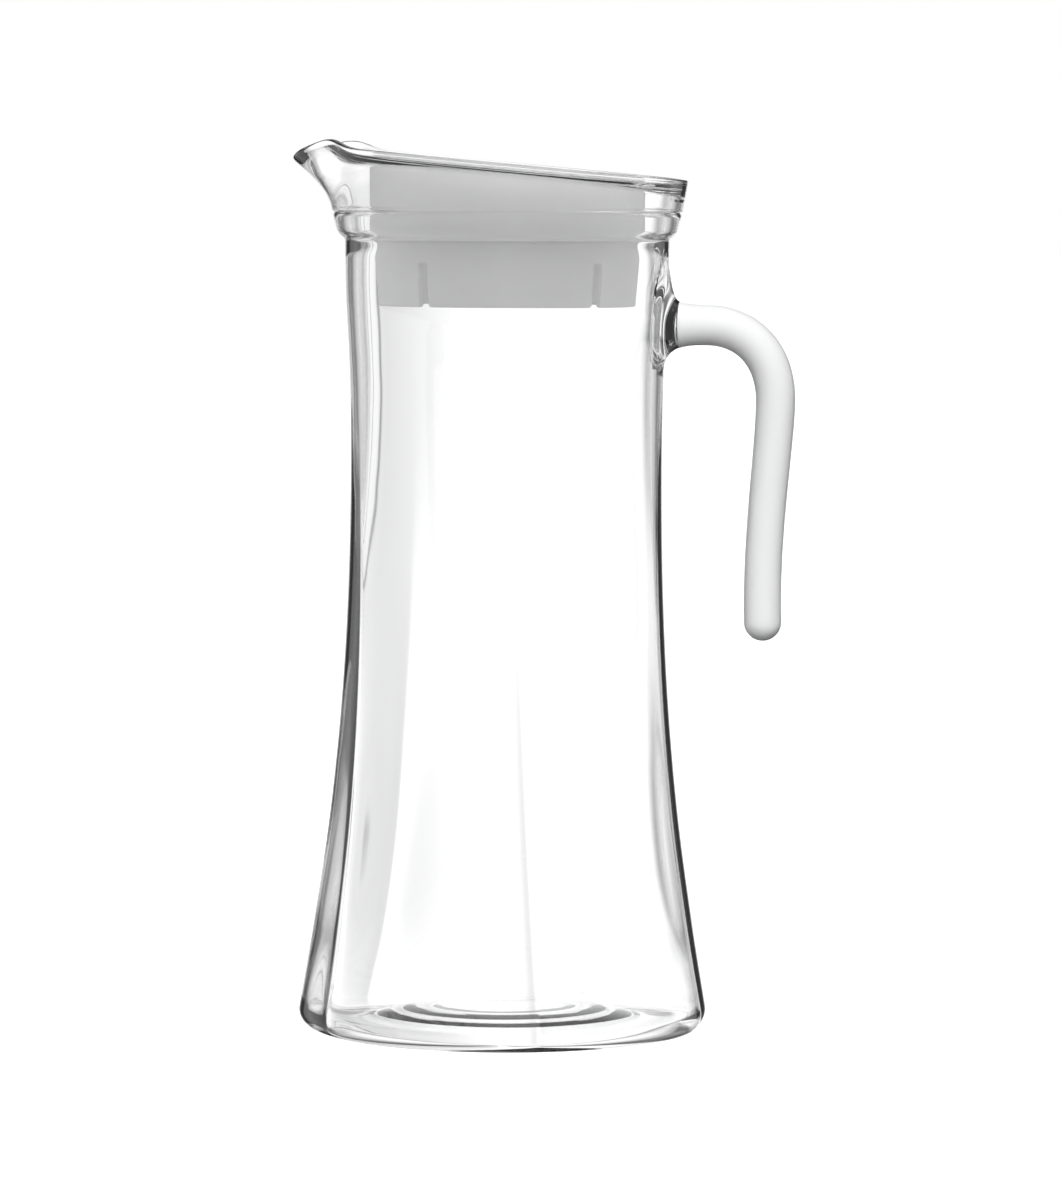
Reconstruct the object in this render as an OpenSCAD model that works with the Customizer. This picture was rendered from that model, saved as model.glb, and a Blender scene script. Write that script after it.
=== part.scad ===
// Large glass water jug with a fused glass handle and a lift-out plug lid.
// Origin on the jug's axis at the plane it stands on, +Z up, +X towards the handle, spout at -X.

/* [Jug body] */
// Largest outer radius, just above the foot
foot_r = 62.2; // [58:0.1:66]
// Outer radius at the waist
waist_r = 46.9; // [44:0.1:50]
// Outer radius of the neck
neck_r = 48.5; // [47:0.1:50]
// Height of the top of the neck, where the collar steps out
neck_z = 235.8; // [230:0.1:240]
// Height of the small step between the collar's two bands
band_z = 244.5; // [242:0.1:246]
// Outer radius of the rim
rim_r = 53.8; // [53:0.1:57]
// Height of the rim above the axis
rim_z = 259.6; // [256:0.1:262]
// Fall of the rim towards the handle, in mm per mm
rim_fall = 0.09; // [0:0.005:0.1]
// Wall thickness at the neck
wall = 3.5; // [3:0.1:4]

/* [Lobes] */
// Number of lobes around the side
lobes = 5; // [3:1:8]
// Distance of each lobe's centre from the jug's axis, at the foot
lobe_shift = 10; // [2:0.5:14]
// Turn of the lobes from the foot to the top, in degrees
lobe_twist = -9; // [-20:1:20]
// Height at which the lobes have faded out
lobe_top = 214; // [180:1:220]

/* [Spout] */
// How far the spout's lip stands out past the rim
spout_out = 10.3; // [5:0.1:12]
// Angle over which the spout spreads to each side
spout_spread = 16.4; // [12:0.1:22]
// Rise of the rim beside the spout
crest_rise = 2.4; // [0:0.1:5]
// Dip of the lip at the middle of the spout
lip_dip = 3.5; // [0:0.1:6]

/* [Base] */
// Rise of the underside in the middle
push_up = 5; // [3:0.5:9]
// Glass thickness in the middle of the base
base_glass = 2.4; // [2:0.1:9]

/* [Handle] */
// Rod radius at the top of the handle
rod_r = 6.1; // [5:0.1:7]
// Rod radius at the handle's free end
rod_end_r = 5.55; // [4.5:0.1:6.5]
// Height of the rod's centre where it leaves the jug
rod_z = 211.6; // [208:0.1:214]
// Distance of the free end's centre from the jug's axis
rod_end_x = 77.4; // [72:0.1:84]
// Height of the free end's centre
rod_end_z = 123; // [100:1:140]
// Distance from the axis to where the clear root meets the satin grip
root_x = 52; // [51:0.1:56]

/* [Lid] */
// Outer radius of the cap
cap_r = 41.2; // [40:0.1:42]
// Height of the cap's slanted top above the axis
cap_top_z = 255.7; // [252:0.1:256]
// Slope of the cap's top, falling towards the handle, in degrees
cap_slope = 5.6; // [0:0.1:7]
// Wall thickness of the cap
cap_wall = 1.8; // [1.4:0.1:2.4]
// Outer radius of the flange that rests in the cone inside the collar
flange_r = 45.9; // [45:0.1:45.9]
// Thickness of the flange
flange_t = 1.2; // [1:0.1:2]
// Outer radius of the plug ring at its top
plug_r = 40; // [39:0.1:40.2]
// Inward taper of the plug ring from top to bottom
plug_taper = 1.6; // [0.5:0.1:2]
// Depth of the plug ring below the flange
plug_depth = 19.7; // [14:0.1:24]
// Wall thickness of the plug ring
plug_wall = 1.3; // [1:0.1:1.8]
// Width of the slots in the plug ring
slot_w = 3; // [1:0.1:4]
// Height of the slots in the plug ring
slot_h = 13; // [8:0.5:16]
// Turn of the slots' plane of symmetry from the handle
slot_turn = 8; // [-20:1:20]
// Angle of the slots nearest the handle, to each side of that plane
slot_front = 48.6; // [20:0.1:60]
// Angle of the slots nearest the spout, to each side of that plane
slot_back = 128.3; // [90:0.1:150]
// Depth of the two finger wells in the cap's top
well_depth = 8; // [4:0.5:10]
// Width of the grip bar between the wells
grip_w = 10; // [6:0.5:14]

/* [Hidden] */

$fn = 96;
eps = 0.01;
sides = 72; // facets around the glass
foot_z = 5; // height of the largest radius
foot_flat_r = 57; // outer edge of the ring it stands on
ring_in_r = 53.5; // inner edge of the ring it stands on
plateau_r = 25; // radius of the raised middle of the underside
floor_level = 1.9; // height of the inner floor round the mound
floor_foot_r = 50; // radius of the mound's foot on the inner floor
floor_edge_r = 56; // where the inner floor turns up into the side
inner_foot_z = 6.5; // where that turn ends
foot_spare = 0.5; // glass below the standing plane, before it is cut flat
flare_z = 231; // where the inside of the collar starts to flare
flare_h = 15; // height of that flare
flare_step = 3.4; // how far it reaches out
collar_wall = 3.8; // wall thickness of the collar and rim
collar_band_r = 50.9; // outer radius at the foot of the collar's lower band
collar_foot_h = 2.7; // height of the shoulder between neck and collar
collar_step_r = 52.2; // outer radius at the top of the collar's lower band
collar_flare_r = 52.5; // outer radius at the foot of the collar's upper band
band_step_h = 0.8; // height of the step between the two bands
edge_r = collar_wall / 2; // radius of the rim's rounded edge
lip_thin = 2; // how much thinner the lip is at the rim
lip_share = 0.26; // share of the collar over which it thins
spout_thin = 0.4; // how much smaller the rim's rounded edge is at the spout
spout_bend = 1.6; // how late the collar curves out into the spout
edge_square = 0.6; // below 1, the rim's rounding is squarer than a circle

flange_z = 236.6; // underside of the flange
crest_at = 23; // angle of the two crests beside the spout's middle
crest_spread = 10; // angle over which each crest fades
dip_spread = 11.5; // angle over which the lip's dip fades
pour_half_angle = 42; // half the gap in the flange at the spout
spigot_h = 5; // how far the plug ring reaches up inside the cap
spigot_extra = 0.6; // how much thicker the plug ring is at its top
well_shore = 8; // from the finger wells to the cap's edge
over = 60; // more than the height of the lid, for cutting shapes

// 0 to 1, with level ends
function smooth(t) = let (c = min(max(t, 0), 1)) c * c * (3 - 2 * c);
function mix(a, b, t) = a + (b - a) * t;

// Smooth curve through [position, value] pairs
function slope_at(p, i) = i == 0 ? (p[1][1] - p[0][1]) / (p[1][0] - p[0][0])
    : i == len(p) - 1 ? (p[i][1] - p[i - 1][1]) / (p[i][0] - p[i - 1][0])
    : (p[i + 1][1] - p[i - 1][1]) / (p[i + 1][0] - p[i - 1][0]);
function span_of(p, x, i = 0) = i >= len(p) - 2 || x <= p[i + 1][0] ? i : span_of(p, x, i + 1);
function along(p, x) = let (
        i = span_of(p, x), h = p[i + 1][0] - p[i][0], t = (x - p[i][0]) / h,
        a = p[i][1], b = p[i + 1][1], da = slope_at(p, i) * h, db = slope_at(p, i + 1) * h)
    a + t * (da + t * (3 * (b - a) - 2 * da - db + t * (2 * (a - b) + da + db)));

// Side of the jug: outer radius by height, from the foot to the neck
side = [[foot_z + 0.8, foot_r], [30, foot_r - 4.1], [66, foot_r - 9.3], [105, waist_r + 2.1],
    [146, waist_r + 0.2], [190, waist_r], [222, neck_r - 0.1], [neck_z, neck_r]];
// Wall thickness by height
walls = [[foot_z, 1.7], [12, 1.7], [22, 2.3], [36, 3.6], [54, 3.9], [98, 3.1], [200, wall],
    [flare_z, wall]];

// Section of the side: arcs that meet in soft valleys, turning as they rise
function shift_at(z) = lobe_shift * (1 - smooth((z - 10) / (lobe_top - 10)));
function turn_at(z) = lobe_twist * min(max(z / lobe_top, 0), 1);
function lobed(r, z, a) = let (
        step = 360 / lobes, b = a - turn_at(z),
        m = b - step * floor(b / step) - step / 2, e = shift_at(z))
    e * cos(m) + sqrt(pow(r - e, 2) - pow(e * sin(m), 2));

function polar(r, a, z) = [r * cos(a), r * sin(a), z];
function side_ring(z, inset = 0) =
    [for (i = [0:sides - 1]) let (a = 360 * i / sides)
        polar(lobed(along(side, z), z, a) - inset, a, z)];
function round_ring(r, z) = [for (i = [0:sides - 1]) polar(r, 360 * i / sides, z)];

// Corner between the side and the ring it stands on, as a part of an ellipse
corner_end = -9; // where its slope meets the side's
corner_wide_r = foot_flat_r + (foot_r - foot_flat_r) / cos(corner_end);
function corner_ring(t) = let (z = foot_z * (1 - sin(t)))
    [for (i = [0:sides - 1]) let (a = 360 * i / sides, r = lobed(corner_wide_r, z, a))
        polar(mix(foot_flat_r, r, cos(t)), a, z)];

// Rim height and spout, by angle from the spout's direction
function off_spout(a) = abs(a - 180);
function bell(x, w) = exp(-pow(x / w, 2));
function rim_out(a) = spout_out * bell(off_spout(a), spout_spread);
function rim_height(a) = let (s = off_spout(a))
    rim_z - rim_fall * (rim_r + rim_out(a)) * cos(a)
    + crest_rise * bell(s - crest_at, crest_spread) - lip_dip * bell(s, dip_spread);

// Collar's upper band and rim: t runs from the band's foot to the rim's edge
function lip_r(a) = edge_r - spout_thin * bell(off_spout(a), spout_spread);
function collar_r(a, t) = collar_flare_r + (rim_r - collar_flare_r) * t
    + rim_out(a) * pow(t, spout_bend);
function collar_z(a, t) = mix(band_z + band_step_h, rim_height(a) - lip_r(a), t);
function collar_lean(a, t) =
    atan2(rim_r - collar_flare_r + spout_bend * rim_out(a) * pow(t, spout_bend - 1),
        rim_height(a) - lip_r(a) - band_z);
function collar_ring(t) = [for (i = [0:sides - 1]) let (a = 360 * i / sides)
    polar(collar_r(a, t), a, collar_z(a, t))];
// Thinning of the lip towards the rim
function lip_thinned(a, t) = lip_thin * pow(lip_r(a) / edge_r * max(1 - (1 - t) / lip_share, 0), 2);
function squared(v) = sign(v) * pow(abs(v), edge_square);
// b runs from 0 outside, over the rim's rounded edge, to 180 inside
function rim_point(a, t, b) = let (
        n = collar_lean(a, t), e = lip_r(a), out = squared(cos(b)), up = squared(sin(b)),
        r = collar_r(a, t) - e * cos(n) + lip_thinned(a, t) * smooth(b / 180),
        z = collar_z(a, t) + e * sin(n) * (1 - t))
    polar(r + e * (out * cos(n) + up * sin(n)), a, z + e * (up * cos(n) - out * sin(n)));
function rim_ring(b) = [for (i = [0:sides - 1]) rim_point(360 * i / sides, 1, b)];
function collar_inner_ring(t) = [for (i = [0:sides - 1]) rim_point(360 * i / sides, t, 180)];

// Inside of the collar: a soft start, then a straight cone that the lid's flange sits in
function flare_r(z) = let (t = min(max((z - flare_z) / flare_h, 0), 1))
    neck_r - wall + flare_step * (t < 0.25 ? 2 * t * t : t - 0.125) / 0.875;
function floor_z(r) = mix(floor_level, push_up + base_glass,
    smooth((floor_foot_r - r) / (floor_foot_r - plateau_r)));
function under_z(r) = push_up * smooth((ring_in_r - r) / (ring_in_r - plateau_r));

// Inner corner between the floor and the side, as a quarter ellipse
function inner_corner_ring(t) = let (z = mix(inner_foot_z, floor_level, sin(t)))
    [for (i = [0:sides - 1]) let (a = 360 * i / sides,
            r = lobed(along(side, inner_foot_z), inner_foot_z, a) - along(walls, inner_foot_z))
        polar(mix(floor_edge_r, r, cos(t)), a, z)];

glass_rings = concat(
    [for (r = [14, 25, 32, 40, 48]) round_ring(r, under_z(r))],
    [round_ring(ring_in_r, 0), round_ring(ring_in_r, -foot_spare), round_ring(foot_flat_r, -foot_spare)],
    [for (t = [90, 62, 38, 14, corner_end]) corner_ring(t)],
    [for (z = [14, 24, 36, 50, 66, 82, 98, 115, 132, 150, 170, 190, 201, 212, 222, neck_z])
        side_ring(z)],
    [round_ring(collar_band_r, neck_z + collar_foot_h), round_ring(collar_step_r, band_z)],
    [for (t = [0, 0.4, 0.7, 1]) collar_ring(t)],
    [for (b = [45, 90, 135]) rim_ring(b)],
    [for (t = [1, 0.87, 0.74, 0.4, 0]) collar_inner_ring(t)],
    [for (z = [band_z, 240, flange_z, flare_z + 3.5, flare_z + 1.8, flare_z]) round_ring(flare_r(z), z)],
    [for (z = [206, 180, 155, 130, 110, 92, 74, 54, 36, 22, 12]) side_ring(z, along(walls, z))],
    [for (t = [0, 30, 60, 90]) inner_corner_ring(t)],
    [for (r = [48, 40, 32, 25, 14]) round_ring(r, floor_z(r))]);

// One closed skin from a stack of rings, with a point at each end
module skin(rings, first, last) {
    n = len(rings[0]);
    m = len(rings);
    points = concat([for (ring = rings, p = ring) p], [first, last]);
    faces = concat(
        [for (i = [0:n - 1]) [m * n, (i + 1) % n, i]],
        [for (j = [0:m - 2], i = [0:n - 1]) [j * n + i, j * n + (i + 1) % n, (j + 1) * n + i]],
        [for (j = [0:m - 2], i = [0:n - 1])
            [j * n + (i + 1) % n, (j + 1) * n + (i + 1) % n, (j + 1) * n + i]],
        [for (i = [0:n - 1]) [m * n + 1, (m - 1) * n + i, (m - 1) * n + (i + 1) % n]]);
    polyhedron(points, faces, convexity = 10);
}

module glass_body() {
    color([0.86, 0.92, 0.92, 0.35]) difference() {
        skin(glass_rings, [0, 0, push_up], [0, 0, push_up + base_glass]);
        translate([-2 * foot_r, -2 * foot_r, -foot_r]) cube([4 * foot_r, 4 * foot_r, foot_r]);
    }
}

// Handle root: a trumpet from the wall to the rod, its curve tangent to both
root_steps = 7;
root_sides = 32;
root_reach = 9.5; // how far the curve reaches out along the rod
root_embed = 0.5; // how deep the root is fused into the wall
root_up = 16; // how far the curve spreads over the wall, above the rod
root_down = 7.5; // below the rod
root_wide = 7; // to each side of the rod
root_power = 2.4; // roundness of the curve
root_crowd = 1.6; // crowds the rings towards the wall
function root_flare(s) = 1 - pow(1 - pow(1 - s, root_power), 1 / root_power);
root_cut = (root_x - along(side, rod_z)) / root_reach; // where the curve stops for the grip
root_end_r = rod_r + root_wide * root_flare(root_cut);
function root_ring(s, deep = 0) = [for (i = [0:root_sides - 1]) let (
        b = 360 * i / root_sides, tall = sin(b) > 0 ? root_up : root_down,
        spread = sqrt(pow(root_wide * cos(b), 2) + pow(tall * sin(b), 2)),
        r = rod_r + mix(root_wide, spread, smooth(1 - s / root_cut)) * root_flare(s),
        y = r * cos(b), z = rod_z + r * sin(b),
        x_wall = sqrt(pow(along(side, z), 2) - y * y))
    [mix(x_wall, root_x, s / root_cut) - deep, y, z]];

module handle_root() {
    color([0.86, 0.92, 0.92, 0.45])
        skin(concat(
                [for (j = [root_steps:-1:0]) root_ring(root_cut * pow(j / root_steps, root_crowd))],
                [root_ring(0, root_embed)]),
            [root_x, 0, rod_z], [along(side, rod_z) - root_embed, 0, rod_z]);
}

// Grip: a rod along a bend and a long, slightly curved drop to a round end
bend = [[60, rod_z], [73, rod_z], [81.2, 202], [81, 189]];
drop = [[81, 189], [81, 176], [rod_end_x - 0.8, 150], [rod_end_x, rod_end_z]];
function bezier(p, t) = pow(1 - t, 3) * p[0] + 3 * t * pow(1 - t, 2) * p[1]
    + 3 * t * t * (1 - t) * p[2] + pow(t, 3) * p[3];
rod_path = concat(
    [for (x = [root_x, 54, 56.5]) [x, rod_z]],
    [for (t = [0:0.1:0.95]) bezier(bend, t)],
    [for (t = [0:0.1:1]) bezier(drop, t)]);
rod_sides = 28;
function rod_heading(i) = let (
        a = rod_path[max(i - 1, 0)], b = rod_path[min(i + 1, len(rod_path) - 1)])
    i == 0 ? 0 : atan2(b[1] - a[1], b[0] - a[0]);
function rod_radius(i) = let (s = i / (len(rod_path) - 1))
    mix(rod_r, rod_end_r, smooth(s * 1.2)) + (root_end_r - rod_r) * pow(max(1 - i / 3, 0), 2);
function rod_ring(p, h, r) = [for (k = [0:rod_sides - 1]) let (b = 360 * k / rod_sides)
    [p[0] - sin(h) * r * sin(b), -r * cos(b), p[1] + cos(h) * r * sin(b)]];
end_i = len(rod_path) - 1;
rod_rings = concat(
    [for (i = [0:end_i]) rod_ring(rod_path[i], rod_heading(i), rod_radius(i))],
    [for (b = [22, 44, 66, 82]) let (h = rod_heading(end_i))
        rod_ring(rod_path[end_i] + rod_end_r * sin(b) * [cos(h), sin(h)], h, rod_end_r * cos(b))]);

module handle_grip() {
    h = rod_heading(end_i);
    tip = rod_path[end_i] + rod_end_r * [cos(h), sin(h)];
    color([0.95, 0.96, 0.96])
        skin(rod_rings, [root_x, 0, rod_z], [tip[0], 0, tip[1]]);
}

// Everything below the cap's slanted top, moved down by drop_by
module below_slant(drop_by = 0) {
    translate([0, 0, cap_top_z - drop_by]) rotate([0, cap_slope, 0])
        translate([-2 * cap_r, -2 * cap_r, -4 * cap_r]) cube([4 * cap_r, 4 * cap_r, 4 * cap_r]);
}

// The two finger wells, each a part of a disc beside the grip bar; grow adds their walls
module wells(grow = 0) {
    well_r = cap_r - well_shore;
    for (s = [-1, 1]) intersection() {
        translate([0, 0, flange_z]) cylinder(r = well_r + grow, h = over);
        translate([-cap_r, s > 0 ? grip_w / 2 - grow : -cap_r - grip_w / 2 + grow, flange_z])
            cube([2 * cap_r, cap_r, over]);
        difference() {
            below_slant(-cap_wall);
            below_slant(well_depth + grow);
        }
    }
}

module cap_disc(r, z) {
    translate([0, 0, z]) cylinder(r = r, h = over);
}

module lid_cap() {
    color([0.93, 0.93, 0.93]) difference() {
        union() {
            intersection() {
                cap_disc(cap_r, flange_z);
                below_slant();
            }
            difference() {
                translate([0, 0, flange_z]) cylinder(r = flange_r, h = flange_t);
                pour_gap();
            }
        }
        difference() {
            intersection() {
                cap_disc(cap_r - cap_wall, flange_z - 1);
                below_slant(cap_wall);
            }
            wells(cap_wall);
        }
        wells();
    }
}

// Wedge that opens the flange towards the spout
module pour_gap() {
    reach = 2 * flange_r;
    translate([0, 0, flange_z - 1]) linear_extrude(flange_t + 2) difference() {
        polygon([[0, 0], reach * [-cos(pour_half_angle), sin(pour_half_angle)], [-reach, 0],
            reach * [-cos(pour_half_angle), -sin(pour_half_angle)]]);
        circle(r = cap_r - eps);
    }
}

module lid_plug() {
    spigot_r = cap_r - cap_wall;
    low_r = plug_r - plug_taper;
    low_z = flange_z - plug_depth;
    inner_r = plug_r - plug_wall - spigot_extra;
    color([0.93, 0.93, 0.93]) difference() {
        rotate_extrude() polygon([
            [spigot_r, flange_z + spigot_h], [spigot_r, flange_z], [plug_r, flange_z],
            [low_r, low_z], [low_r - plug_wall, low_z],
            [inner_r, flange_z], [inner_r, flange_z + spigot_h]]);
        for (side_of = [-1, 1], a = [slot_front, slot_back])
            rotate([0, 0, slot_turn + side_of * a]) translate([low_r / 2, -slot_w / 2, low_z - 1])
                cube([plug_r, slot_w, slot_h + 1]);
    }
}

glass_body();
handle_root();
handle_grip();
lid_cap();
lid_plug();
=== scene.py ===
"""Large glass water jug with a satin glass handle and a white plug lid, on a pale floor.

The frame is the CAD model's: origin on the jug's axis at the plane it stands on, +Z up,
+X towards the handle, the spout at -X. Shapes are worked out in millimetres and degrees,
and turned into metres when a mesh is made.
"""
import math

import bpy
import numpy as np
from mathutils import Matrix, Vector


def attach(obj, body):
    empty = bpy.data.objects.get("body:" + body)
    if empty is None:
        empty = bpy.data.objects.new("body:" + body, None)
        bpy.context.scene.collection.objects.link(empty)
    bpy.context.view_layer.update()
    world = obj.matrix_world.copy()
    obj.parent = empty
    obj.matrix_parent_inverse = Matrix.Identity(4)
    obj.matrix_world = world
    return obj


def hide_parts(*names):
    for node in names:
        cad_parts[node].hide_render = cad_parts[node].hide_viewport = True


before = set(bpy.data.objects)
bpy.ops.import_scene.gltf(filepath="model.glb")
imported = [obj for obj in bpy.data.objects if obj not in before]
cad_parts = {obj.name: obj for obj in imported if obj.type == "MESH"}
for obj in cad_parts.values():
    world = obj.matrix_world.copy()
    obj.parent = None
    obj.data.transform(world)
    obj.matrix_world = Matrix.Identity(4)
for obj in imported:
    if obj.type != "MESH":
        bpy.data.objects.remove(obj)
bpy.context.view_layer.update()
MM = 0.001

# ------------------------------------------------- sizes, in millimetres and degrees
# The vessel: its foot, waist, neck, collar band and rim, which falls towards the handle
FOOT_R, WAIST_R, NECK_R = 62.0, 46.9, 48.5
FOOT_Z, NECK_Z, BAND_Z = 5.0, 235.8, 244.5
RIM_R, RIM_Z, RIM_FALL = 53.8, 259.6, 0.09
WALL, COLLAR_WALL = 3.5, 3.8
EDGE_R = COLLAR_WALL / 2

# The lobed side, and the fine crease in each valley between two lobes
LOBES, LOBE_SHIFT, LOBE_TWIST, LOBE_FOOT, LOBE_TOP = 5, 10.0, -9.0, 10.0, 214.0
SHARP_VALLEY, CORNER_VALLEY, INNER_VALLEY = 0.12, 0.15, 0.8
CREASE, CREASE_W, FAR_CREASE = 0.14, 1.5, 0.2
CREASE_FADE_Z, CREASE_FADE_H = 60.0, 140.0

# The spout: a lip that reaches out and dips between two crests
SPOUT_OUT, SPOUT_SPREAD, CREST_RISE, LIP_DIP = 10.1, 16.4, 2.1, 3.3
CREST_AT, CREST_SPREAD, DIP_SPREAD = 23.0, 10.0, 11.5
SPOUT_THIN, SPOUT_BEND, EDGE_SQUARE = 0.4, 1.6, 0.6
LIP_THIN, LIP_H, LIP_CREST_H = 2.0, 3.4, 2.6

# The base, pushed up in the middle, and the collar with the ledge inside it
PUSH_UP, BASE_GLASS, FLOOR_Z, INNER_FOOT_Z = 5.0, 2.4, 1.9, 6.5
FOOT_FLAT_R, RING_IN_R, PLATEAU_R, FLOOR_FOOT_R, FLOOR_EDGE_R = 57.0, 53.5, 25.0, 50.0, 56.0
SIDE_LEAN = 9
MOULD_RING_R, MOULD_RING_RISE, MOULD_RING_W = (22.0, 30.0, 38.0), 0.35, 1.6
LEDGE_Z, LEDGE_TOP_Z, LEDGE_H, LEDGE_STEP = 231.0, 245.6, 15.0, 3.4
FLARE_Z, FLARE_R = BAND_Z + 0.8, 52.5

# The handle: a satin rod, and the clear root that flares into the wall
ROD_R, ROD_END_R, ROD_Z = 6.1, 5.55, 211.6
ROD_END_X, ROD_END_Z, ROOT_X = 77.4, 123.0, 52.0
ROOT_UP, ROOT_DOWN, ROOT_WIDE, ROOT_REACH, ROOT_EMBED = 16.0, 7.5, 7.0, 9.5, 0.5
GRIP_EMBED = 0.12

# The lid: the cap with its flange and finger wells, and the plug ring with its slots
CAP_R, CAP_TOP_Z, CAP_SLOPE, CAP_WALL, CAP_EDGE = 41.2, 255.7, 5.6, 1.8, 1.2
FLANGE_R, FLANGE_T, FLANGE_Z, POUR_HALF_ANGLE = 45.9, 1.2, 236.6, 42.0
POUR_EDGE, POUR_BLEND = 0.35, 5.0
PLUG_R, PLUG_TAPER, PLUG_DEPTH, PLUG_WALL, SPIGOT_H = 40.0, 1.6, 19.7, 1.3, 5.0
PLUG_END_R, FIT_GAP, FINE_EDGE = 0.5, 0.05, 0.3
SLOT_W, SLOT_H, SLOT_TURN, SLOT_FRONT, SLOT_BACK = 3.0, 13.0, 8.0, 48.6, 128.3
SLOT_FLARE, SLOT_CORNER = 0.9, 0.5
WELL_DEPTH, WELL_R, WELL_SHORE, WELL_SKIN, GRIP_W = 8.0, 33.2, 4.0, 1.4, 10.0

# Outer radius and wall thickness up the side, as (height, value)
SIDE = [(FOOT_Z + 0.8, FOOT_R), (30, FOOT_R - 4.1), (66, FOOT_R - 9.3), (105, WAIST_R + 2.1),
        (146, WAIST_R + 0.2), (190, WAIST_R), (222, NECK_R - 0.1), (NECK_Z, NECK_R)]
WALLS = [(FOOT_Z, 1.7), (12, 1.7), (22, 2.3), (36, 3.6), (54, 3.9), (98, 3.1),
         (200, WALL), (LEDGE_Z, WALL)]


# ---------------------------------------------------------------- curves
def smooth(t):
    """0 to 1, level at both ends."""
    c = np.clip(t, 0, 1)
    return c * c * (3 - 2 * c)


def mix(a, b, t):
    return a + (b - a) * t


def bell(x, w):
    """1 at 0, falling off over a width."""
    return np.exp(-((x / w) ** 2))


def cosd(a):
    return np.cos(np.radians(a))


def sind(a):
    return np.sin(np.radians(a))


def along(points, x):
    """Smooth curve through (position, value) pairs, with each slope taken from its neighbours."""
    px, py = np.array(points, float).T
    slope = np.empty(len(px))
    slope[1:-1] = (py[2:] - py[:-2]) / (px[2:] - px[:-2])
    slope[0] = (py[1] - py[0]) / (px[1] - px[0])
    slope[-1] = (py[-1] - py[-2]) / (px[-1] - px[-2])
    i = np.clip(np.searchsorted(px, x) - 1, 0, len(px) - 2)
    h = px[i + 1] - px[i]
    t = (x - px[i]) / h
    a, b, da, db = py[i], py[i + 1], slope[i] * h, slope[i + 1] * h
    return a + t * (da + t * (3 * (b - a) - 2 * da - db + t * (2 * (a - b) + da + db)))


def steps(first, last, count):
    """Evenly spaced values, without the last."""
    return [first + (last - first) * i / count for i in range(count)]


# ---------------------------------------------------------------- meshes
def make_object(name, verts, faces, body, slot, material, *nodes):
    """A closed smooth piece from points in millimetres, riding on a body in place of CAD nodes."""
    mesh = bpy.data.meshes.new(name)
    mesh.from_pydata((np.asarray(verts) * MM).tolist(), [], faces)
    mesh.polygons.foreach_set("use_smooth", [True] * len(mesh.polygons))
    mesh.materials.append(material)
    mesh.update()
    piece = bpy.data.objects.new(name, mesh)
    bpy.context.scene.collection.objects.link(piece)
    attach(piece, body)
    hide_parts(*nodes)
    return piece


def skin(rings, first, last):
    """Points and faces of one closed skin: a stack of rings with a point at each end."""
    count, many = len(rings[0]), len(rings)
    verts = np.concatenate([np.asarray(ring) for ring in rings] + [[first], [last]])
    faces = [(many * count, (i + 1) % count, i) for i in range(count)]
    for j in range(many - 1):
        low, high = j * count, (j + 1) * count
        faces += [(low + i, low + (i + 1) % count, high + (i + 1) % count, high + i)
                  for i in range(count)]
    top = (many - 1) * count
    faces += [(many * count + 1, top + i, top + (i + 1) % count) for i in range(count)]
    return verts, faces


# ---------------------------------------------------------------- the glass body
def from_valley(a):
    """Angle from the nearest valley between two lobes."""
    return (a + 180 / LOBES) % (360 / LOBES) - 180 / LOBES


def off_spout(a):
    """Angle from the middle of the spout."""
    return np.abs(a - 180)


def angles(count):
    """Angles round the jug at its foot, closer together at the valleys and at the spout."""
    fine = np.arange(3600) / 10
    valley = from_valley(fine)
    density = 1 + 3.5 * bell(valley, 4.0) + 9.0 * bell(valley, 0.8)
    density += 0.9 * bell(off_spout(fine) - 5, 30)
    share = np.concatenate([[0], np.cumsum(density)]) / density.sum()
    return np.interp(np.arange(count) / count, share, np.arange(3601) / 10)


def turn_at(z):
    """How far the lobes have turned at a height."""
    return LOBE_TWIST * min(max(z / LOBE_TOP, 0), 1)


AROUND = angles(240)
AROUND_TOP = AROUND + LOBE_TWIST


def ring(r, z, a=None):
    """Points at one height, or at a height for each angle; the angles turn with the lobes."""
    if a is None:
        a = AROUND + turn_at(float(np.mean(z)))
    return np.stack([r * cosd(a), r * sind(a), z + np.zeros(len(a))], axis=1)


def lobe_shift(z):
    """How far the arcs' centres are from the axis: the lobes fade out upwards."""
    return LOBE_SHIFT * (1 - smooth((z - LOBE_FOOT) / (LOBE_TOP - LOBE_FOOT)))


def lobed(r, z, soft):
    """Radius of arcs round shifted centres; soft rounds the valleys where two arcs meet."""
    e = lobe_shift(z)
    if e < 0.01:
        return np.full(len(AROUND), float(r))
    turned = [AROUND - 360 * (k + 0.5) / LOBES for k in range(LOBES)]
    rays = np.array([e * cosd(m) + np.sqrt((r - e) ** 2 - (e * sind(m)) ** 2) for m in turned])
    soft = soft * min(1, e / 3)
    top = rays.max(axis=0)
    return top + soft * np.log(np.exp((rays - top) / soft).sum(axis=0))


def crease(z):
    """Fine crease that the mould leaves along each valley, fading upwards, fainter at the back."""
    near = np.where(sind(AROUND) < 0, 1.0, FAR_CREASE)
    left = 1 - smooth((z - CREASE_FADE_Z) / CREASE_FADE_H)
    return CREASE * near * left * bell(from_valley(AROUND), CREASE_W)


def outer_ring(z):
    return ring(lobed(along(SIDE, z), z, SHARP_VALLEY) - crease(z), z)


def inner_ring(z):
    return ring(lobed(along(SIDE, z), z, INNER_VALLEY) - along(WALLS, z), z)


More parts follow.
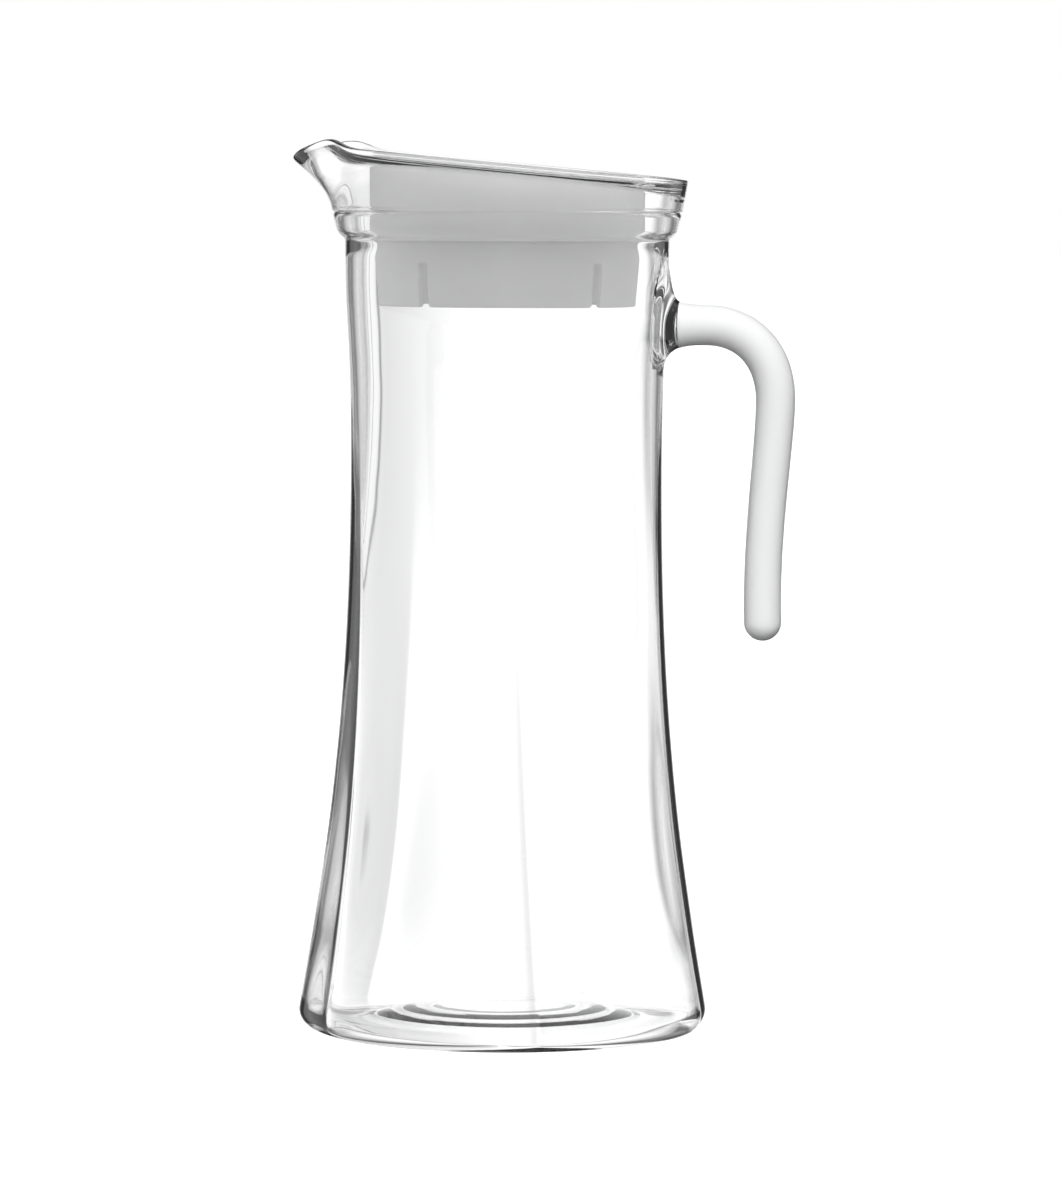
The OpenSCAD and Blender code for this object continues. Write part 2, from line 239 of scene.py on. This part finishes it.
def corner_ring(t):
    """Rounded outer corner, from the ring it stands on at 90 to the side at -SIDE_LEAN."""
    z = FOOT_Z * (1 - sind(t))
    wide = FOOT_FLAT_R + (FOOT_R - FOOT_FLAT_R) / cosd(SIDE_LEAN)
    return ring(mix(FOOT_FLAT_R, lobed(wide, z, CORNER_VALLEY) - crease(z), cosd(t)), z)


def rim_out(a):
    """How far the spout reaches out past the round rim."""
    return SPOUT_OUT * bell(off_spout(a), SPOUT_SPREAD)


def rim_height(a):
    """Height of the slanted rim, with the spout's crests and dip."""
    s = off_spout(a)
    return (RIM_Z - RIM_FALL * (RIM_R + rim_out(a)) * cosd(a)
            + CREST_RISE * bell(s - CREST_AT, CREST_SPREAD) - LIP_DIP * bell(s, DIP_SPREAD))


def lip_r(a):
    """Half the rim's thickness, finer at the spout."""
    return EDGE_R - SPOUT_THIN * bell(off_spout(a), SPOUT_SPREAD)


def squared(v):
    """Squares the rim's rounding off a little, as fire-polished edges are."""
    return np.sign(v) * np.abs(v) ** EDGE_SQUARE


def rim_ring(t, b, a=AROUND_TOP, thin=0.0):
    """Collar wall: t runs up from the band to the rim, b from 0 outside over to 180 inside."""
    e = lip_r(a)
    r = FLARE_R + (RIM_R - FLARE_R) * t + rim_out(a) * t ** SPOUT_BEND
    z = mix(FLARE_Z, rim_height(a) - e, t)
    outward = RIM_R - FLARE_R + SPOUT_BEND * rim_out(a) * t ** (SPOUT_BEND - 1)
    lean = np.degrees(np.arctan2(outward, rim_height(a) - e - BAND_Z))
    out, up = squared(cosd(b)), squared(sind(b))
    r = r - e * cosd(lean) + e * (out * cosd(lean) + up * sind(lean))
    z = z + e * sind(lean) * (1 - t) + e * (up * cosd(lean) - out * sind(lean))
    return ring(r + thin * (e / EDGE_R) ** 2, z, a)


def lip_ring(q, a=AROUND_TOP):
    """Inside of the lip, thinned towards the rim: q runs down from the rim's edge to 1."""
    height = LIP_H + LIP_CREST_H * bell(off_spout(a) - 14, 16)
    drop = rim_height(a) - EDGE_R - FLARE_Z
    return rim_ring(1 - q * height / drop, 180, thin=LIP_THIN * (1 - min(q, 1)) ** 2)


def ledge_r(z):
    """Inside of the collar: a soft start, then a straight cone that the lid's flange sits in."""
    t = np.clip((z - LEDGE_Z) / LEDGE_H, 0, 1)
    return NECK_R - WALL + LEDGE_STEP * np.where(t < 0.25, 2 * t * t, t - 0.125) / 0.875


def floor_z(r):
    """Floor of the inside, raised in the middle like the underside."""
    mound = smooth((FLOOR_FOOT_R - r) / (FLOOR_FOOT_R - PLATEAU_R))
    return FLOOR_Z + (PUSH_UP + BASE_GLASS - FLOOR_Z) * mound


def under_z(r):
    """Underside, pushed up in the middle, with three shallow moulded rings."""
    rings = sum(MOULD_RING_RISE * bell(r - at, MOULD_RING_W) for at in MOULD_RING_R)
    return PUSH_UP * smooth((RING_IN_R - r) / (RING_IN_R - PLATEAU_R)) + rings


def inner_corner_ring(t):
    """Rounded inner corner, from the wall at 0 to the floor at 90."""
    z = mix(INNER_FOOT_Z, FLOOR_Z, sind(t))
    r = lobed(along(SIDE, INNER_FOOT_Z), INNER_FOOT_Z, INNER_VALLEY) - along(WALLS, INNER_FOOT_Z)
    return ring(mix(FLOOR_EDGE_R, r, cosd(t)), z)


# Shoulder between the neck and the collar's band, with a fine groove at the band's top, as
# (height, distance out from the neck)
SHOULDER = [(NECK_Z + 0.7, 0.05), (NECK_Z + 1.4, 0.5), (NECK_Z + 2.0, 1.15), (NECK_Z + 2.6, 1.8),
            (NECK_Z + 3.3, 2.3), (NECK_Z + 4.2, 2.6), (NECK_Z + 5.4, 2.95), (BAND_Z - 1.2, 3.5),
            (BAND_Z - 0.5, 3.6), (BAND_Z - 0.15, 3.5), (BAND_Z + 0.15, 3.3), (BAND_Z + 0.4, 3.4),
            (BAND_Z + 0.6, 3.75)]


def glass_rings():
    """Underside, foot, side, collar, over the rim, down the inside and over the floor."""
    rings = [ring(r, under_z(r)) for r in steps(1.5, RING_IN_R, 40)]
    rings += [ring(RING_IN_R + d, 0.0) for d in (0.0, 1.0)]
    rings += [corner_ring(t) for t in steps(90, -SIDE_LEAN, 14)]
    rings += [outer_ring(z) for z in steps(FOOT_Z + 0.8, NECK_Z, 104)] + [outer_ring(NECK_Z)]
    rings += [ring(NECK_R + out, z) for z, out in SHOULDER]
    rings += [rim_ring(t, 0) for t in steps(0, 1, 18)]
    rings += [rim_ring(1, b, thin=LIP_THIN * smooth(b / 180)) for b in steps(0, 180, 18)]
    rings += [lip_ring(q) for q in steps(0, 1.3, 20)]
    rings += [rim_ring(t, 180) for t in (0.45, 0.35, 0.25, 0.15, 0.07, 0.0)]
    rings += [ring(ledge_r(z), z) for z in steps(LEDGE_TOP_Z, LEDGE_Z, 22)]
    rings += [inner_ring(z) for z in steps(LEDGE_Z, INNER_FOOT_Z, 76)]
    rings += [inner_corner_ring(t) for t in steps(0, 90, 10)]
    rings += [ring(r, floor_z(r)) for r in steps(FLOOR_EDGE_R, 0, 30)]
    return rings


# ---------------------------------------------------------------- the handle
ROOT_POWER = 2.4
ROOT_CUT = (ROOT_X - along(SIDE, ROD_Z)) / ROOT_REACH    # where the satin starts on the flare


def root_flare(s):
    """How wide the root flares, 1 at the wall and 0 at the rod."""
    return 1 - (1 - (1 - s) ** ROOT_POWER) ** (1 / ROOT_POWER)


ROOT_END_R = ROD_R + ROOT_WIDE * root_flare(ROOT_CUT)


def root_ring(s, deep=0.0, count=96):
    """Trumpet between the wall at 0 and the rod, tangent to both."""
    b = np.arange(count) * 360 / count
    tall = np.where(sind(b) > 0, ROOT_UP, ROOT_DOWN)
    spread = np.hypot(ROOT_WIDE * cosd(b), tall * sind(b))
    r = ROD_R + mix(ROOT_WIDE, spread, smooth(1 - s / ROOT_CUT)) * root_flare(s)
    y, z = r * cosd(b), ROD_Z + r * sind(b)
    x_wall = np.sqrt(along(SIDE, z) ** 2 - y * y)
    return np.stack([mix(x_wall, ROOT_X, s / ROOT_CUT) - deep, y, z], axis=1)


def root_rings():
    """From the satin's start back to the wall, and a little way into it."""
    cuts = [ROOT_CUT * t ** 2.2 for t in steps(1, 0, 26)]
    return [root_ring(s) for s in cuts] + [root_ring(0.0), root_ring(0.0, ROOT_EMBED)]


def bezier(points, t):
    p = np.array(points, float)
    return ((1 - t) ** 3 * p[0] + 3 * t * (1 - t) ** 2 * p[1]
            + 3 * t * t * (1 - t) * p[2] + t ** 3 * p[3])


# Control points of the rod's axis, as (x, z): the bend, then the drop to the lower end
BEND_X, BEND_END_X, BEND_END_Z = 60, 80.8, 189
BEND = [(BEND_X, ROD_Z), (73, ROD_Z), (81.0, 202), (BEND_END_X, BEND_END_Z)]
DROP = [(BEND_END_X, BEND_END_Z), (BEND_END_X, 176), (ROD_END_X - 0.8, 150), (ROD_END_X, ROD_END_Z)]


def rod_rings(count=64):
    """Rings of the satin rod, from the root round the bend to its round lower end."""
    path = [np.array((x, ROD_Z)) for x in [ROOT_X - GRIP_EMBED] + steps(ROOT_X, BEND_X, 8)]
    path += [bezier(BEND, t) for t in steps(0, 1, 36)]
    path += [bezier(DROP, t) for t in steps(0, 1, 44)] + [np.array(DROP[3], float)]
    path = np.array(path)
    reach = np.concatenate([[0], np.cumsum(np.hypot(*np.diff(path, axis=0).T))])
    share = reach / reach[-1]
    radius = mix(ROD_R, ROD_END_R, smooth(share * 1.2))
    radius += (ROOT_END_R - ROD_R) * np.clip(1 - reach / 6, 0, 1) ** 2
    radius[0] -= GRIP_EMBED
    heading = np.gradient(path, reach, axis=0)
    heading /= np.linalg.norm(heading, axis=1)[:, None]
    b = np.arange(count) * 360 / count

    def rod_ring(p, h, r):
        up = r * sind(b)
        return np.stack([p[0] - h[1] * up, r * cosd(b), p[1] + h[0] * up], axis=1)

    rings = [rod_ring(p, h, r) for p, h, r in zip(path, heading, radius)]
    end, last = heading[-1], path[-1]
    rings += [rod_ring(last + ROD_END_R * sind(t) * end, end, ROD_END_R * cosd(t))
              for t in steps(9, 90, 9)]
    return rings, last + ROD_END_R * end


# ---------------------------------------------------------------- the lid
def cap_top(x):
    """Height of the cap's slanted top."""
    return CAP_TOP_Z - math.tan(math.radians(CAP_SLOPE)) * x


def well(x, y, grow=0.0):
    """How deep the finger wells are, 0 to 1, at a point of the cap's top; grow widens them."""
    from_bar = np.abs(y) - GRIP_W / 2 + grow
    from_edge = WELL_R + grow - np.hypot(x, y)
    return smooth(from_bar / WELL_SHORE) * smooth(from_edge / WELL_SHORE)


def cap_rings(count=240):
    """The hollow cap: under its top, down inside, round the flange, up outside, over the top."""
    a = np.arange(count) * 360 / count
    from_gap = off_spout(a) - POUR_HALF_ANGLE
    flange = CAP_R + mix(POUR_EDGE, FLANGE_R - CAP_R, smooth(from_gap / POUR_BLEND + 0.5))
    flange_top = FLANGE_Z + FLANGE_T
    inner = CAP_R - CAP_WALL
    fine = FINE_EDGE

    def top(r, z_off, grow=0.0):
        x, y = r * cosd(a), r * sind(a)
        return ring(r, cap_top(x) + z_off - WELL_DEPTH * well(x, y, grow), a)

    def under(r, drop=0.0):
        return top(r, -CAP_WALL - drop, WELL_SKIN)

    def inner_wall(t):
        high = cap_top(inner * cosd(a)) - CAP_WALL - 1.5
        return ring(inner, mix(high, FLANGE_Z + fine, t), a)

    def outer_wall(t):
        return ring(CAP_R, mix(flange_top + 0.5, cap_top(CAP_R * cosd(a)) - CAP_EDGE, t), a)

    rings = [under(r) for r in steps(1.0, inner - 1, 44)]
    rings += [under(inner - 1 + sind(t), 1 - cosd(t)) for t in (0, 30, 60, 90)]
    rings += [inner_wall(t) for t in steps(0, 1, 6)]
    rings += [ring(inner, FLANGE_Z + fine, a), ring(inner + fine, FLANGE_Z, a)]
    rings += [ring(mix(inner + 2 * fine, flange - fine, t), FLANGE_Z, a) for t in steps(0, 1, 4)]
    rings += [ring(flange - fine + fine * sind(t), FLANGE_Z + fine - fine * cosd(t), a)
              for t in (0, 45, 90)]
    rings += [ring(flange - fine + fine * cosd(t), flange_top - fine + fine * sind(t), a)
              for t in (0, 45, 90)]
    rings += [ring(mix(flange - POUR_EDGE, CAP_R + 0.2, t), flange_top + 0.02, a)
              for t in (0.4, 0.8, 1)]
    rings += [outer_wall(t) for t in steps(0, 1, 8)]
    rings += [top(CAP_R - CAP_EDGE + CAP_EDGE * cosd(t), CAP_EDGE * sind(t) - CAP_EDGE)
              for t in steps(0, 90, 8)]
    rings += [top(r, 0.0) for r in steps(CAP_R - CAP_EDGE, 0, 56)]
    return rings


def plug_rings(count=288):
    """The tapered plug ring with its spigot up inside the cap, as a closed hoop of rings."""
    a = np.arange(count) * 360 / count
    fine, end = FINE_EDGE, PLUG_END_R
    low_z, low_r = FLANGE_Z - PLUG_DEPTH, PLUG_R - PLUG_TAPER
    in_top, in_low = PLUG_R - PLUG_WALL - 0.6, low_r - PLUG_WALL
    spigot_r, spigot_z = CAP_R - CAP_WALL - FIT_GAP, FLANGE_Z + SPIGOT_H
    plug_z = FLANGE_Z - FIT_GAP
    outline = [(in_top, spigot_z - fine), (in_top + fine, spigot_z)]
    outline += [(spigot_r - fine, spigot_z), (spigot_r, spigot_z - fine)]
    outline += [(spigot_r, plug_z), (PLUG_R - fine, plug_z), (PLUG_R, plug_z - fine)]
    outline += [(mix(PLUG_R, low_r, t), mix(plug_z - fine, low_z + end, t))
                for t in steps(0.1, 1, 8)]
    outline += [(low_r - end + end * cosd(t), low_z + end - end * sind(t)) for t in (0, 30, 60, 90)]
    outline += [(in_low + end - end * cosd(t), low_z + end - end * sind(t)) for t in (90, 60, 30, 0)]
    outline += [(mix(in_low, in_top, t), mix(low_z + end, FLANGE_Z + 1, t))
                for t in steps(0.1, 1, 8)]
    return [ring(r, z, a) for r, z in outline]


def hoop(rings):
    """Points and faces of a closed hoop: the last ring joins the first."""
    count, many = len(rings[0]), len(rings)
    verts = np.concatenate(rings)
    faces = []
    for j in range(many):
        low, high = j * count, (j + 1) % many * count
        faces += [(low + i, low + (i + 1) % count, high + (i + 1) % count, high + i)
                  for i in range(count)]
    return verts, faces


def slot_cutter(angle):
    """A radial bar with the outline of one slot: round-cornered on top, flared at its open end."""
    low_z = FLANGE_Z - PLUG_DEPTH
    half, flare, corner = SLOT_W / 2, SLOT_FLARE, SLOT_CORNER
    right = [(half + flare, low_z - 2), (half + flare, low_z)]
    right += [(half + flare - flare * sind(t), low_z + flare - flare * cosd(t))
              for t in (20, 45, 70, 90)]
    right += [(half - corner + corner * cosd(t), low_z + SLOT_H - corner + corner * sind(t))
              for t in (0, 30, 60, 90)]
    outline = right + [(-y, z) for y, z in reversed(right)]
    near, far, n = PLUG_R - 8, PLUG_R + 4, len(outline)
    turn = np.array([[cosd(angle), -sind(angle), 0], [sind(angle), cosd(angle), 0], [0, 0, 1]])
    verts = np.array([(x, y, z) for x in (near, far) for y, z in outline]) @ turn.T
    faces = [tuple(range(n - 1, -1, -1)), tuple(range(n, 2 * n))]
    faces += [(i, (i + 1) % n, n + (i + 1) % n, n + i) for i in range(n)]
    return verts, faces


def plain_mesh(name, verts, faces):
    """A closed mesh that only joins or cuts another."""
    mesh = bpy.data.meshes.new(name)
    mesh.from_pydata((np.asarray(verts) * MM).tolist(), [], faces)
    mesh.update()
    tool = bpy.data.objects.new(name, mesh)
    bpy.context.scene.collection.objects.link(tool)
    return tool


def apply_boolean(piece, tools, operation):
    """Joins or cuts the piece with each tool object, then deletes the tools."""
    for tool in tools:
        step = piece.modifiers.new("join", "BOOLEAN")
        step.operation, step.solver, step.object = operation, "EXACT", tool
    graph = bpy.context.evaluated_depsgraph_get()
    done = bpy.data.meshes.new_from_object(piece.evaluated_get(graph), depsgraph=graph)
    piece.modifiers.clear()
    piece.data = done
    for tool in tools:
        bpy.data.objects.remove(tool)
    done.polygons.foreach_set("use_smooth", [True] * len(done.polygons))


# ---------------------------------------------------------------- materials
def new_material(name):
    material = bpy.data.materials.new(name)
    material.use_nodes = True
    return material, material.node_tree, material.node_tree.nodes["Principled BSDF"]


def add_node(tree, kind, **values):
    """A node with the named inputs or settings."""
    node = tree.nodes.new(kind)
    for key, value in values.items():
        if key in node.inputs:
            node.inputs[key].default_value = value
        else:
            setattr(node, key, value)
    return node


def object_noise(tree, scale, detail=2.0):
    """Noise in the object's own coordinates, in metres."""
    where = add_node(tree, "ShaderNodeTexCoord")
    noise = add_node(tree, "ShaderNodeTexNoise", Scale=scale, Detail=detail)
    tree.links.new(where.outputs["Object"], noise.inputs["Vector"])
    return noise


def add_bump(tree, shader, height, strength, distance):
    bump = add_node(tree, "ShaderNodeBump", Strength=strength, Distance=distance)
    tree.links.new(height, bump.inputs["Height"])
    tree.links.new(bump.outputs["Normal"], shader.inputs["Normal"])


def show(tree, surface):
    tree.links.new(surface, tree.nodes["Material Output"].inputs["Surface"])


def let_light_through(tree, shader, tint):
    """Shadow rays pass the glass as a pale tint, so that it throws a light shadow."""
    clear = add_node(tree, "ShaderNodeBsdfTransparent", Color=tint)
    path = add_node(tree, "ShaderNodeLightPath")
    either = add_node(tree, "ShaderNodeMixShader")
    tree.links.new(path.outputs["Is Shadow Ray"], either.inputs[0])
    tree.links.new(shader.outputs[0], either.inputs[1])
    tree.links.new(clear.outputs[0], either.inputs[2])
    show(tree, either.outputs[0])


def clear_glass():
    """Soda-lime glass, with a faint waviness from pressing."""
    material, tree, shader = new_material("clear_glass")
    shader.inputs["Base Color"].default_value = (0.997, 0.999, 0.999, 1)
    shader.inputs["Transmission Weight"].default_value = 1.0
    shader.inputs["IOR"].default_value = 1.5
    shader.inputs["Roughness"].default_value = 0.0
    wave = object_noise(tree, 45.0, 1.0)
    add_bump(tree, shader, wave.outputs["Fac"], 0.1, 0.0004)
    let_light_through(tree, shader, (0.93, 0.935, 0.935, 1))
    return material


def satin_glass():
    """Acid-frosted glass, so milky that hardly any light comes through, with a fine tooth."""
    material, tree, shader = new_material("satin_glass")
    shader.inputs["Base Color"].default_value = (0.97, 0.975, 0.975, 1)
    shader.inputs["Transmission Weight"].default_value = 0.05
    shader.inputs["IOR"].default_value = 1.5
    shader.inputs["Roughness"].default_value = 0.6
    shader.inputs["Specular IOR Level"].default_value = 0.0
    tooth = object_noise(tree, 2600.0, 3.0)
    add_bump(tree, shader, tooth.outputs["Fac"], 0.1, 0.00008)
    return material


def lid_plastic(name, grey):
    """White polypropylene, slightly translucent, with a fine moulded grain."""
    material, tree, shader = new_material(name)
    cloud = object_noise(tree, 60.0, 3.0)
    ramp = add_node(tree, "ShaderNodeValToRGB")
    for mark, shade in zip(ramp.color_ramp.elements, (0.97 * grey, grey)):
        mark.color = (shade, shade, shade, 1)
    tree.links.new(cloud.outputs["Fac"], ramp.inputs["Fac"])
    tree.links.new(ramp.outputs["Color"], shader.inputs["Base Color"])
    shader.inputs["Roughness"].default_value = 0.38
    grain = object_noise(tree, 1800.0, 2.0)
    add_bump(tree, shader, grain.outputs["Fac"], 0.15, 0.00005)
    through = add_node(tree, "ShaderNodeBsdfTranslucent", Color=(0.95, 0.95, 0.95, 1))
    blend = add_node(tree, "ShaderNodeMixShader", Fac=0.55)
    tree.links.new(shader.outputs[0], blend.inputs[1])
    tree.links.new(through.outputs[0], blend.inputs[2])
    show(tree, blend.outputs[0])
    return material


# ---------------------------------------------------------------- making the pieces
def make_glass_body(glass):
    """The vessel with the handle's clear root joined to it, as one piece of glass."""
    verts, faces = skin(glass_rings(), (0, 0, under_z(0.0)), (0, 0, PUSH_UP + BASE_GLASS))
    body = make_object("glass_body", verts, faces, "jug", "clear_glass", glass,
                       "glass_body", "handle_root")
    root = plain_mesh("root_tool", *skin(root_rings(), (ROOT_X, 0, ROD_Z),
                                         (along(SIDE, ROD_Z) - ROOT_EMBED, 0, ROD_Z)))
    apply_boolean(body, [root], "UNION")
    return body


def make_handle_grip(satin):
    rings, tip = rod_rings()
    verts, faces = skin(rings, (ROOT_X - GRIP_EMBED, 0, ROD_Z), (tip[0], 0, tip[1]))
    return make_object("handle_grip", verts, faces, "jug", "satin_glass", satin, "handle_grip")


def make_lid_cap(plastic):
    verts, faces = skin(cap_rings(), (0, 0, CAP_TOP_Z - CAP_WALL), (0, 0, CAP_TOP_Z))
    return make_object("lid_cap", verts, faces, "lid", "lid_plastic", plastic, "lid_cap")


def make_lid_plug(plastic):
    verts, faces = hoop(plug_rings())
    plug = make_object("lid_plug", verts, faces, "lid", "plug_plastic", plastic, "lid_plug")
    cutters = [plain_mesh("slot_tool", *slot_cutter(SLOT_TURN + side * a))
               for side in (-1, 1) for a in (SLOT_FRONT, SLOT_BACK)]
    apply_boolean(plug, cutters, "DIFFERENCE")
    return plug


# ------------------------------------------------- the studio, in metres and degrees
CAMERA_TURN, CAMERA_Z, CAMERA_AWAY, CAMERA_ROLL = 8.0, 0.2445, 1.7, 0.25
AIM_Z, AIM_RIGHT, LENS, SENSOR = 0.1312, 0.0072, 172.6, 36.0
FLOOR_HALF, FLOOR_DROP, FLOOR_GLOW = 30.0, 0.0002, 0.85
LAMP_AIM_Z = 0.13


def make_camera():
    """At the front, turned a little towards the handle, level with the collar."""
    turn = math.radians(CAMERA_TURN)
    right = Vector((math.cos(turn), math.sin(turn), 0))
    place = Vector((math.sin(turn) * CAMERA_AWAY, -math.cos(turn) * CAMERA_AWAY, CAMERA_Z))
    aim = right * AIM_RIGHT + Vector((0, 0, AIM_Z))
    data = bpy.data.cameras.new("camera")
    data.lens, data.sensor_width = LENS, SENSOR
    camera = bpy.data.objects.new("camera", data)
    camera.rotation_mode = "QUATERNION"
    camera.location = place
    roll = Matrix.Rotation(math.radians(CAMERA_ROLL), 4, "Z").to_quaternion()
    camera.rotation_quaternion = (aim - place).to_track_quat("-Z", "Y") @ roll
    bpy.context.scene.collection.objects.link(camera)
    bpy.context.scene.camera = camera


def make_floor():
    """Wide pale floor, just under the foot, that only the camera sees."""
    mesh = bpy.data.meshes.new("floor")
    far = FLOOR_HALF
    corners = [(-far, -far, 0), (far, -far, 0), (far, far, 0), (-far, far, 0)]
    mesh.from_pydata(corners, [], [(0, 1, 2, 3)])
    floor = bpy.data.objects.new("floor", mesh)
    floor.location.z = -FLOOR_DROP
    material, tree, shader = new_material("floor")
    shader.inputs["Base Color"].default_value = (0.9, 0.9, 0.9, 1)
    shader.inputs["Roughness"].default_value = 0.9
    shader.inputs["Emission Color"].default_value = (1, 1, 1, 1)
    shader.inputs["Emission Strength"].default_value = FLOOR_GLOW
    mesh.materials.append(material)
    floor.visible_transmission = False
    floor.visible_glossy = False
    floor.visible_diffuse = False
    bpy.context.scene.collection.objects.link(floor)


def add_area_light(name, place, size, power):
    """Soft square lamp aimed at the middle of the jug, never mirrored or seen through glass."""
    data = bpy.data.lights.new(name, "AREA")
    data.shape, data.size, data.energy = "SQUARE", size, power
    light = bpy.data.objects.new(name, data)
    light.location = place
    light.rotation_mode = "QUATERNION"
    aim = Vector((0, 0, LAMP_AIM_Z)) - Vector(place)
    light.rotation_quaternion = aim.to_track_quat("-Z", "Y")
    light.visible_glossy = False
    light.visible_transmission = False
    bpy.context.scene.collection.objects.link(light)


# Brightness round the horizon, at degrees from straight ahead of the camera, and up from the
# horizon: BENT is what the glass bends or mirrors, and SOFT is what lights the matt pieces.
BENT_SKY = [(-180, 0.9), (-150, 0.75), (-90, 0.9), (-45, 0.95), (-33, 0.5), (-26, 0.08), (-17, 0.1),
            (-12.5, 0.9), (-9.5, 0.8), (-8, 0.62), (-5, 0.7), (-3, 0.84), (-1, 1.0), (11, 1.0),
            (17, 0.1), (26, 0.08), (33, 0.5), (45, 0.95), (90, 0.9), (150, 0.75), (180, 0.9)]
BENT_TALL = [(-90, 0.95), (-50, 0.95), (-34, 0.85), (-20, 0.8), (-14, 1.0), (8, 1.0), (14, 0.3),
             (35, 0.35), (50, 0.8), (90, 1.0)]
BENT_STRENGTH = 1.12
SOFT_SKY = [(-180, 6.0), (-168, 2.0), (-155, 0.02), (-95, 0.0), (0, 0.02), (60, 0.02), (105, 0.02),
            (145, 0.02), (165, 4.5), (180, 6.0)]
SOFT_TALL = [(-90, 0.0), (-10, 0.02), (12, 0.95), (35, 1.4), (55, 0.9), (90, 0.1)]

# How much of BENT_TALL counts at each bearing: all of it on the two dark flags beside straight
# ahead, a little between them, and none at the sides and behind the camera
TALL_SHARE = [(-180, 0.0), (-60, 0.0), (-45, 1.0), (-13, 1.0), (-8, 0.2), (8, 0.2), (13, 1.0),
              (45, 1.0), (60, 0.0), (180, 0.0)]

# Fine dark upright lines for the glass, as (bearing, width, darkness)
SLITS = [(-8.7, 0.35, 0.85), (-11.6, 0.2, 0.6), (-13.4, 0.2, 0.5)]


def make_world():
    """White for the camera, white between dark flags for glass, frontal light for matt pieces."""
    world = bpy.data.worlds.new("studio")
    bpy.context.scene.world = world
    world.use_nodes = True
    tree = world.node_tree
    tree.nodes.clear()
    where = add_node(tree, "ShaderNodeTexCoord")
    split = add_node(tree, "ShaderNodeSeparateXYZ")
    tree.links.new(where.outputs["Generated"], split.inputs[0])

    def maths(operation, *values):
        node = add_node(tree, "ShaderNodeMath", operation=operation)
        for slot, value in zip(node.inputs, values):
            if isinstance(value, float):
                slot.default_value = value
            else:
                tree.links.new(value, slot)
        return node.outputs[0]

    def multiply(a, b, share=None):
        """a times b, or a mixed with that by a share."""
        node = add_node(tree, "ShaderNodeMix", data_type="RGBA", blend_type="MULTIPLY")
        node.inputs[0].default_value = 1.0
        if share is not None:
            tree.links.new(share, node.inputs[0])
        tree.links.new(a, node.inputs[6])
        tree.links.new(b, node.inputs[7])
        return node.outputs[2]

    # Both run from 0 to 1: straight ahead and the horizon are at a half
    bearing = maths("ARCTAN2", split.outputs["X"], split.outputs["Y"])
    bearing = maths("ADD", bearing, math.radians(CAMERA_TURN + 180))
    bearing = maths("DIVIDE", maths("FLOORED_MODULO", bearing, math.tau), math.tau)
    height = maths("ADD", maths("DIVIDE", maths("ARCSINE", split.outputs["Z"]), math.pi), 0.5)

    def sky_ramp(place, stops, whole):
        """Brightness at stops of (degrees from the middle, brightness)."""
        ramp = add_node(tree, "ShaderNodeValToRGB")
        ramp.color_ramp.interpolation = "EASE"
        marks = ramp.color_ramp.elements
        marks[0].color = [stops[0][1]] * 3 + [1]
        marks[1].color = [stops[-1][1]] * 3 + [1]
        for angle, bright in stops[1:-1]:
            marks.new(angle / whole + 0.5).color = (bright, bright, bright, 1)
        tree.links.new(place, ramp.inputs["Fac"])
        return ramp.outputs["Color"]

    bent_color = multiply(sky_ramp(bearing, BENT_SKY, 360), sky_ramp(height, BENT_TALL, 180),
                          sky_ramp(bearing, TALL_SHARE, 360))
    for at, wide, dark in SLITS:
        off_slit = maths("MULTIPLY", maths("SUBTRACT", bearing, at / 360 + 0.5), 360 / wide)
        slit = maths("EXPONENT", maths("MULTIPLY", maths("MULTIPLY", off_slit, off_slit), -1.0))
        bent_color = multiply(bent_color, maths("SUBTRACT", 1.0, maths("MULTIPLY", slit, dark)))
    soft_color = multiply(sky_ramp(bearing, SOFT_SKY, 360), sky_ramp(height, SOFT_TALL, 180))
    bent = add_node(tree, "ShaderNodeBackground", Strength=BENT_STRENGTH)
    soft = add_node(tree, "ShaderNodeBackground", Strength=1.0)
    tree.links.new(bent_color, bent.inputs["Color"])
    tree.links.new(soft_color, soft.inputs["Color"])
    plain = add_node(tree, "ShaderNodeBackground", Color=(1, 1, 1, 1), Strength=1.0)
    path = add_node(tree, "ShaderNodeLightPath")
    lit = add_node(tree, "ShaderNodeMixShader")
    seen = add_node(tree, "ShaderNodeMixShader")
    output = add_node(tree, "ShaderNodeOutputWorld")
    tree.links.new(path.outputs["Is Diffuse Ray"], lit.inputs[0])
    tree.links.new(bent.outputs[0], lit.inputs[1])
    tree.links.new(soft.outputs[0], lit.inputs[2])
    tree.links.new(path.outputs["Is Camera Ray"], seen.inputs[0])
    tree.links.new(lit.outputs[0], seen.inputs[1])
    tree.links.new(plain.outputs[0], seen.inputs[2])
    tree.links.new(seen.outputs[0], output.inputs["Surface"])


def set_look():
    """Plain colours, and enough bounces for light to cross all the glass."""
    scene = bpy.context.scene
    scene.view_settings.view_transform = "Standard"
    scene.cycles.max_bounces = 24
    scene.cycles.transmission_bounces = 24
    scene.cycles.glossy_bounces = 8
    scene.cycles.transparent_max_bounces = 16
    scene.cycles.sample_clamp_indirect = 6.0


make_camera()
make_floor()
make_world()
add_area_light("key", (0.9, -1.2, 1.3), 1.0, 2.0)
add_area_light("top", (0.0, 0.3, 1.8), 1.2, 1.5)
set_look()

make_glass_body(clear_glass())
make_handle_grip(satin_glass())
make_lid_cap(lid_plastic("lid_plastic", 0.85))
make_lid_plug(lid_plastic("plug_plastic", 0.84))
